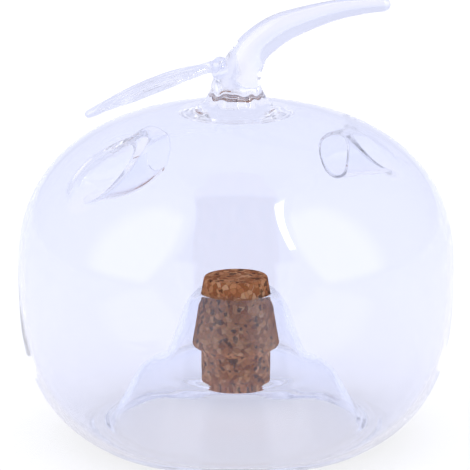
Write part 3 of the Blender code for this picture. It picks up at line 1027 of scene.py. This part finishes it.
# --------------------------------------------------------------------------- leaf
@dataclass
class GlassLeaf:
    """A ribbon of hot glass pressed flat, pulled to a point and welded to the stem by a bead."""

    width: float = 20.0 * MM
    thickness: float = 2.9 * MM
    vein_depth: float = 0.30 * MM
    around: int = 72
    along: int = 90
    line: tuple[tuple[float, float], ...] = (
        (-4.4, 121.7), (-7.0, 121.1), (-10.2, 120.1), (-14.8, 118.6), (-21.2, 116.4), (-27.6, 113.9),
        (-34.0, 111.2), (-40.5, 108.5), (-44.6, 106.6), (-46.8, 105.6),
    )
    # Share of the length, share of the width, share of the thickness.
    plan: tuple[tuple[float, float, float], ...] = (
        (0.0, 0.24, 1.35), (0.08, 0.27, 1.20), (0.16, 0.42, 1.05), (0.27, 0.70, 1.0), (0.40, 0.93, 0.95),
        (0.52, 1.0, 0.92), (0.64, 0.93, 0.92), (0.76, 0.70, 0.95), (0.86, 0.43, 1.0), (0.935, 0.21, 1.02),
        (1.0, 0.13, 0.86),
    )

    def build(self, glass: bpy.types.Material) -> bpy.types.Object:
        """Build the leaf with its pressed veins and the drop at its tip.

        Args:
            glass: the finish of the leaf.

        Returns:
            The leaf object.
        """
        line = even_steps(through([(x * MM, z * MM) for x, z in self.line], 16), self.along)
        runs = np.gradient(line, axis=0)
        runs /= np.linalg.norm(runs, axis=1, keepdims=True)
        plan = through([tuple(row) for row in self.plan], 10)
        share = np.linspace(0.0, 1.0, self.along + 1)
        wide = np.interp(share, plan[:, 0], plan[:, 1]) * 0.5 * self.width
        thick = np.interp(share, plan[:, 0], plan[:, 2]) * 0.5 * self.thickness
        turn = 2.0 * math.pi * np.arange(self.around) / self.around
        points: list[np.ndarray] = []
        rings: list[list[int]] = []
        for k, place in enumerate(line):
            up = np.array([runs[k, 1], 0.0, -runs[k, 0]])
            up *= math.copysign(1.0, up[2])
            side = np.sign(np.cos(turn)) * np.abs(np.cos(turn)) ** 0.8
            lift = np.sign(np.sin(turn)) * np.abs(np.sin(turn)) ** 0.9
            fade = math.sin(math.pi * min(1.0, max(0.0, (share[k] - 0.06) / 0.90)))
            spread = side * wide[k] / (0.5 * self.width)
            vein = (self.vein_depth * fade * np.cos(spread * 5.2 * math.pi)
                    * np.sign(lift) * np.abs(lift) ** 0.5)
            cup = 0.9 * MM * (1.0 - side ** 2) * fade
            ring = (np.array([place[0], 0.0, place[1]])
                    + np.outer(side * wide[k], np.array([0.0, 1.0, 0.0]))
                    + np.outer(lift * thick[k] + vein + cup, up))
            rings.append(list(range(len(points), len(points) + self.around)))
            points.extend(ring)
        faces: list[tuple[int, ...]] = []
        for lower, upper in zip(rings, rings[1:]):
            faces.extend(band(lower, upper))
        for ring, place, out in ((rings[0], line[0], -runs[0]), (rings[-1], line[-1], runs[-1])):
            current = ring
            middle = np.mean([points[n] for n in ring], axis=0)
            size = 1.25 * MM
            for arc in np.radians([25.0, 50.0, 70.0]):
                shrunk = (middle + (np.array([points[n] for n in ring]) - middle) * math.cos(arc)
                          + np.array([out[0], 0.0, out[1]]) * size * math.sin(arc))
                current = BlownApple.next_row(current, shrunk, points, faces)
            tip = len(points)
            points.append(middle + np.array([out[0], 0.0, out[1]]) * size)
            faces.extend((current[k], current[(k + 1) % len(current)], tip) for k in range(len(current)))
        return make_object("glass_leaf", np.array(points), faces, glass)


@dataclass
class WeldBead:
    """The lump of glass that was dropped on the stem to hold the leaf."""

    centre: tuple[float, float, float] = (-4.9 * MM, 0.0, 120.3 * MM)
    size: tuple[float, float, float] = (3.3 * MM, 4.0 * MM, 3.9 * MM)
    around: int = 64

    def build(self, glass: bpy.types.Material) -> bpy.types.Object:
        """Build the bead as a slightly uneven drop.

        Args:
            glass: the finish of the bead.

        Returns:
            The bead object.
        """
        points: list[np.ndarray] = [np.array(self.centre) + np.array([0.0, 0.0, -self.size[2]])]
        faces: list[tuple[int, ...]] = []
        turn = 2.0 * math.pi * np.arange(self.around) / self.around
        current: list[int] = []
        for step in range(1, 32):
            arc = math.pi * step / 32
            ring = np.stack([np.cos(turn) * math.sin(arc) * self.size[0],
                             np.sin(turn) * math.sin(arc) * self.size[1],
                             np.full(self.around, -math.cos(arc) * self.size[2])], axis=1)
            swell = np.array([1.0 + 0.06 * noise.noise(Vector(row) / 0.004) for row in ring])[:, None]
            ring = ring * swell + np.array(self.centre)
            if not current:
                current = list(range(len(points), len(points) + self.around))
                points.extend(ring)
                faces.extend((0, current[(k + 1) % self.around], current[k]) for k in range(self.around))
            else:
                current = BlownApple.next_row(current, ring, points, faces)
        tip = len(points)
        points.append(np.array(self.centre) + np.array([0.0, 0.0, self.size[2]]))
        faces.extend((current[k], current[(k + 1) % self.around], tip) for k in range(self.around))
        return make_object("leaf_weld_bead", np.array(points), faces, glass)


# --------------------------------------------------------------------------- cork
@dataclass
class CorkStopper:
    """The loose stopper, turned from pressed cork grains, with torn pores on its faces."""

    bottom: float = 16.1 * MM
    top: float = 52.4 * MM
    grip: float = 11.2 * MM
    shoulder: float = 14.0 * MM
    shoulder_height: float = 30.1 * MM
    crown: float = 10.3 * MM
    around: int = 220

    def build(self, cork: bpy.types.Material) -> bpy.types.Object:
        """Build the stopper with eased edges and small pits.

        Args:
            cork: the finish of the stopper.

        Returns:
            The cork object.
        """
        step = self.shoulder - self.grip
        key = [(self.grip - 0.9 * MM, self.bottom), (self.grip - 0.25 * MM, self.bottom + 0.25 * MM),
               (self.grip, self.bottom + 0.9 * MM), (self.grip, self.shoulder_height - 4.5 * MM),
               (self.grip + 0.03 * step, self.shoulder_height - 2.4 * MM),
               (self.grip + 0.40 * step, self.shoulder_height - 1.2 * MM),
               (self.grip + 0.85 * step, self.shoulder_height - 0.55 * MM),
               (self.shoulder, self.shoulder_height + 0.5 * MM)]
        side = through(key, 10)
        taper = np.array([side[-1], [self.crown + 0.1 * MM, self.top - 0.7 * MM]])
        edge = through([tuple(taper[-1]), (self.crown - 0.18 * MM, self.top - 0.2 * MM),
                        (self.crown - 0.75 * MM, self.top)], 6)
        under = np.array([[0.0, self.bottom], [self.grip - 0.9 * MM, self.bottom]])
        over = np.array([[self.crown - 0.75 * MM, self.top], [0.0, self.top]])
        rows = np.vstack([even_steps(under, 26), even_steps(side, 64)[1:], even_steps(taper, 66)[1:],
                          even_steps(edge, 8)[1:], even_steps(over, 26)[1:]])
        turn = 2.0 * math.pi * np.arange(self.around) / self.around
        points: list[np.ndarray] = [np.array([0.0, 0.0, rows[0, 1]])]
        faces: list[tuple[int, ...]] = []
        current: list[int] = []
        for across, up in rows[1:-1]:
            ring = np.stack([across * np.sin(turn), -across * np.cos(turn), np.full(self.around, up)], axis=1)
            if not current:
                current = list(range(1, 1 + self.around))
                points.extend(ring)
                faces.extend((0, current[(k + 1) % self.around], current[k]) for k in range(self.around))
            else:
                current = BlownApple.next_row(current, ring, points, faces)
        tip = len(points)
        points.append(np.array([0.0, 0.0, rows[-1, 1]]))
        faces.extend((current[k], current[(k + 1) % self.around], tip) for k in range(self.around))
        shaped = np.array(points)
        made = make_object("cork_stopper_turned", shaped, faces, cork)
        self.pit(made)
        return made

    def pit(self, piece: bpy.types.Object) -> None:
        """Sink small pores where grains tore out.

        Args:
            piece: the cork object.
        """
        outward = [vertex.normal.copy() for vertex in piece.data.vertices]
        for vertex, normal in zip(piece.data.vertices, outward):
            place = vertex.co / (2.1 * MM)
            distances, _ = noise.voronoi(place)
            pore = max(0.0, 0.30 - distances[0]) / 0.30
            chance = noise.cell(vertex.co / (2.6 * MM))
            rough = noise.noise(vertex.co / (0.9 * MM))
            depth = 0.05 * MM * rough - (0.32 * MM * pore if chance > 0.55 else 0.0)
            vertex.co += normal * min(0.02 * MM, depth - 0.03 * MM)


# --------------------------------------------------------------------------- studio
class Reading(Enum):
    """What limits a patch of the room: a measure of a ray's direction or of its path."""

    AHEAD = "away from the camera"
    UP = "upwards"
    BESIDE = "to either side, along the panels' leaning edges"
    RIGHT = "to the right, along the same leaning edges"
    MIDDLE = "to either side, along the nearly upright edges of the gap"
    WALLS = "times that the ray has passed into or out of glass"


@dataclass(frozen=True)
class Patch:
    """One patch of the room in front: how bright it is and its soft limits.

    Each limit is a reading, the level at which the patch has faded out and the level at which it is full.
    """

    light: tuple[float, float, float]
    limits: tuple[tuple[Reading, float, float], ...]


@dataclass
class Studio:
    """White tent, acrylic table and the camera."""

    elevation: float = math.radians(14.5)
    distance: float = 1.10
    frame_width: float = 150.9 * MM
    aim: tuple[float, float, float] = (-0.32 * MM, 0.0, 65.85 * MM)
    panel_lean: float = 0.45
    gap_lean: float = 0.12
    cloth_power: float = 1.05
    turns: int = 200
    walls_seen: float = 9.0
    cloth: tuple[tuple[float, str], ...] = (
        (0.0, "#EEECF3"), (0.34, "#EDECF4"), (0.42, "#E2E5F7"), (0.60, "#DFE2F6"), (1.0, "#E4E7F9"),
    )
    panels: Patch = Patch((1.75, 1.75, 1.8), (
        (Reading.BESIDE, 0.73, 0.80), (Reading.UP, 0.0, 0.10), (Reading.UP, 0.92, 0.80),
        (Reading.AHEAD, 0.0, -0.25),
    ))
    wings: Patch = Patch((0.04, 0.04, 0.06), (
        (Reading.BESIDE, 0.73, 0.66), (Reading.UP, 0.33, 0.41), (Reading.AHEAD, -0.07, -0.13),
    ))
    gap: Patch = Patch((0.0, 0.0, 0.0), (
        (Reading.MIDDLE, 0.40, 0.36), (Reading.UP, -0.80, -0.60), (Reading.AHEAD, -0.07, -0.13),
    ))
    edge: Patch = Patch((14.0, 14.0, 14.0), (
        (Reading.RIGHT, 0.682, 0.690), (Reading.RIGHT, 0.738, 0.730), (Reading.UP, 0.50, 0.53),
        (Reading.UP, 0.95, 0.93), (Reading.AHEAD, 0.0, -0.1), (Reading.WALLS, 0.6, 0.4),
    ))

    def camera(self) -> None:
        """Place the camera, looking a little down."""
        data = bpy.data.cameras.new("camera")
        data.sensor_width = 36.0
        data.lens = 36.0 * self.distance / self.frame_width
        data.clip_start = 0.01
        data.clip_end = 50.0
        made = bpy.data.objects.new("camera", data)
        bpy.context.scene.collection.objects.link(made)
        back = Vector((0.0, -math.cos(self.elevation), math.sin(self.elevation)))
        made.location = Vector(self.aim) + back * self.distance
        made.rotation_euler = back.to_track_quat("Z", "Y").to_euler()
        bpy.context.scene.camera = made

    def surround(self) -> None:
        """A white tent of cloth round the table.

        What is seen past the glass is plain white, and what is seen through it is cloth, a little cool and
        greyer towards the floor. The outer walls also mirror the room in front: a bright panel on each side,
        the dark gap between them, and the bare edge of the right-hand panel.
        """
        world = bpy.data.worlds.new("white_tent")
        bpy.context.scene.world = world
        world.use_nodes = True
        tree = world.node_tree
        tree.nodes.clear()
        output = add_node(tree, "ShaderNodeOutputWorld")
        path = add_node(tree, "ShaderNodeLightPath")
        read = self.readings(tree, path)
        height = add_node(tree, "ShaderNodeMapRange", None, {"From Min": -1.0, "From Max": 1.0},
                          {"Value": read[Reading.UP]})
        cloth = add_node(tree, "ShaderNodeValToRGB", links={"Fac": height.outputs["Result"]})
        set_ramp(cloth, list(self.cloth))
        seen = cloth.outputs["Color"]
        for patch in (self.panels, self.wings, self.gap, self.edge):
            limits = [self.ease(tree, read[reading], nought, full) for reading, nought, full in patch.limits]
            seen = self.tinted(tree, patch.light, seen, self.both(tree, *limits))
        # The room is mirrored clearly by the outer walls and ever more faintly by the ones behind them.
        inner = add_node(tree, "ShaderNodeMapRange", None,
                         {"From Min": 0.0, "From Max": self.walls_seen, "To Min": 1.0, "To Max": 0.0},
                         {"Value": path.outputs["Transmission Depth"]})
        bounced = self.both(tree, self.ease(tree, path.outputs["Glossy Depth"], 0.4, 0.6),
                            inner.outputs["Result"])
        chosen = add_node(tree, "ShaderNodeMix", {"data_type": "RGBA"}, None,
                          {"Factor": bounced, "A": cloth.outputs["Color"], "B": seen})
        direct = add_node(tree, "ShaderNodeMix", {"data_type": "RGBA"}, {"B": (1.0, 1.0, 1.0, 1.0)},
                          {"Factor": path.outputs["Is Camera Ray"], "A": chosen.outputs["Result"]})
        # Matt faces are lit more from above, where the tent's lamps hang.
        overhead = add_node(tree, "ShaderNodeMapRange", None,
                            {"From Min": -0.3, "From Max": 0.9, "To Min": 0.5, "To Max": 2.6},
                            {"Value": read[Reading.UP]})
        power = add_node(tree, "ShaderNodeMath", {"operation": "MULTIPLY_ADD"}, {2: self.cloth_power},
                         {0: overhead.outputs["Result"], 1: path.outputs["Is Diffuse Ray"]})
        back = add_node(tree, "ShaderNodeBackground", None, None,
                        {"Color": direct.outputs["Result"], "Strength": power.outputs["Value"]})
        tree.links.new(back.outputs[0], output.inputs["Surface"])

    def readings(self, tree: bpy.types.NodeTree,
                 path: bpy.types.Node) -> dict[Reading, bpy.types.NodeSocket]:
        """Work out every reading that limits a patch of the room.

        Args:
            tree: the tent's node tree.
            path: the node that counts what a ray has been through.

        Returns:
            One socket for each reading.
        """
        place = add_node(tree, "ShaderNodeTexCoord")
        parts = add_node(tree, "ShaderNodeSeparateXYZ", links={"Vector": place.outputs["Generated"]})
        sideways, ahead, up = (parts.outputs[axis] for axis in "XYZ")
        aside = add_node(tree, "ShaderNodeMath", {"operation": "ABSOLUTE"}, None, {0: sideways})
        read = {Reading.AHEAD: ahead, Reading.UP: up, Reading.WALLS: path.outputs["Transmission Depth"]}
        for reading, lean, across in ((Reading.BESIDE, self.panel_lean, aside.outputs["Value"]),
                                      (Reading.RIGHT, self.panel_lean, sideways),
                                      (Reading.MIDDLE, self.gap_lean, aside.outputs["Value"])):
            leaning = add_node(tree, "ShaderNodeMath", {"operation": "MULTIPLY_ADD"}, {1: lean},
                               {0: up, 2: across})
            read[reading] = leaning.outputs["Value"]
        return read

    @staticmethod
    def ease(tree: bpy.types.NodeTree, value: bpy.types.NodeSocket, nought: float,
             full: float) -> bpy.types.NodeSocket:
        """Ease a value from nought to one between two of its levels.

        Args:
            tree: the tent's node tree.
            value: the value that is read.
            nought: level at which the result is 0.
            full: level at which the result is 1; it may be the lower one.

        Returns:
            The eased value.
        """
        made = add_node(tree, "ShaderNodeMapRange", {"interpolation_type": "SMOOTHSTEP"},
                        {"From Min": nought, "From Max": full, "To Min": 0.0, "To Max": 1.0},
                        {"Value": value})
        return made.outputs["Result"]

    @staticmethod
    def both(tree: bpy.types.NodeTree, *masks: bpy.types.NodeSocket) -> bpy.types.NodeSocket:
        """Multiply masks, so that the result is one only where all of them are.

        Args:
            tree: the tent's node tree.
            masks: the masks.

        Returns:
            The product.
        """
        result = masks[0]
        for mask in masks[1:]:
            made = add_node(tree, "ShaderNodeMath", {"operation": "MULTIPLY"}, None, {0: result, 1: mask})
            result = made.outputs["Value"]
        return result

    @staticmethod
    def tinted(tree: bpy.types.NodeTree, colour: tuple[float, float, float],
               under: bpy.types.NodeSocket, mask: bpy.types.NodeSocket) -> bpy.types.NodeSocket:
        """Lay one brightness over another where a mask is one.

        Args:
            tree: the tent's node tree.
            colour: linear brightness of the layer, which may pass 1.
            under: what lies under it.
            mask: where the layer shows.

        Returns:
            The combined colour.
        """
        made = add_node(tree, "ShaderNodeMix", {"data_type": "RGBA"}, {"B": (*colour, 1.0)},
                        {"Factor": mask, "A": under})
        return made.outputs["Result"]

    def table(self, acrylic: bpy.types.Material) -> bpy.types.Object:
        """Lay the acrylic sheet that the trap stands on.

        Args:
            acrylic: the finish of the sheet.

        Returns:
            The sheet.
        """
        half = 3.0
        mesh = bpy.data.meshes.new("table_sheet")
        mesh.from_pydata([(-half, -half, -0.0002), (half, -half, -0.0002), (half, half, -0.0002),
                          (-half, half, -0.0002)], [], [(0, 1, 2, 3)])
        mesh.materials.append(acrylic)
        made = bpy.data.objects.new("table_sheet", mesh)
        bpy.context.scene.collection.objects.link(made)
        return made

    def build(self) -> None:
        """Set up the whole studio."""
        self.camera()
        self.surround()
        self.table(LitAcrylic().make())
        scene = bpy.context.scene
        scene.view_settings.view_transform = "Standard"
        scene.view_settings.look = "None"
        scene.view_settings.exposure = 0.0
        scene.view_settings.gamma = 1.0
        # Thick rims turn light back on itself many times before it gets out.
        scene.cycles.max_bounces = self.turns
        scene.cycles.glossy_bounces = self.turns
        scene.cycles.transmission_bounces = self.turns


class Body(Enum):
    """The two bodies that move against each other."""

    GLASS = "glass"
    CORK = "cork"


def hand_over(piece: bpy.types.Object, body: Body, slot: str, *nodes: str) -> None:
    """Put a finished piece on its body in place of the nodes that it covers, and report it.

    Args:
        piece: the finished piece.
        body: the body that it rides on.
        slot: the material slot that it belongs to; not used.
        nodes: the nodes that it stands in for.
    """
    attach(piece, body.value)
    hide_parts(*nodes)
    log.info("%s: %d faces, in place of %s", piece.name, len(piece.data.polygons), ", ".join(nodes))


def main() -> None:
    """Build the studio and every piece, and report each piece."""
    Studio().build()
    glass = BlownGlass().make()
    hand_over(BlownApple().build(glass), Body.GLASS, "clear_glass", "body_shell", "base_cone",
              "entry_funnel_front", "entry_funnel_rear", "stem_root", "stem")
    hand_over(WeldBead().build(glass), Body.GLASS, "clear_glass", "leaf_joint")
    hand_over(GlassLeaf().build(glass), Body.GLASS, "clear_glass", "leaf")
    hand_over(CorkStopper().build(PressedCork().make()), Body.CORK, "cork", "cork_stopper")


if __name__ == "__main__":
    logging.basicConfig(level=logging.INFO)
    main()
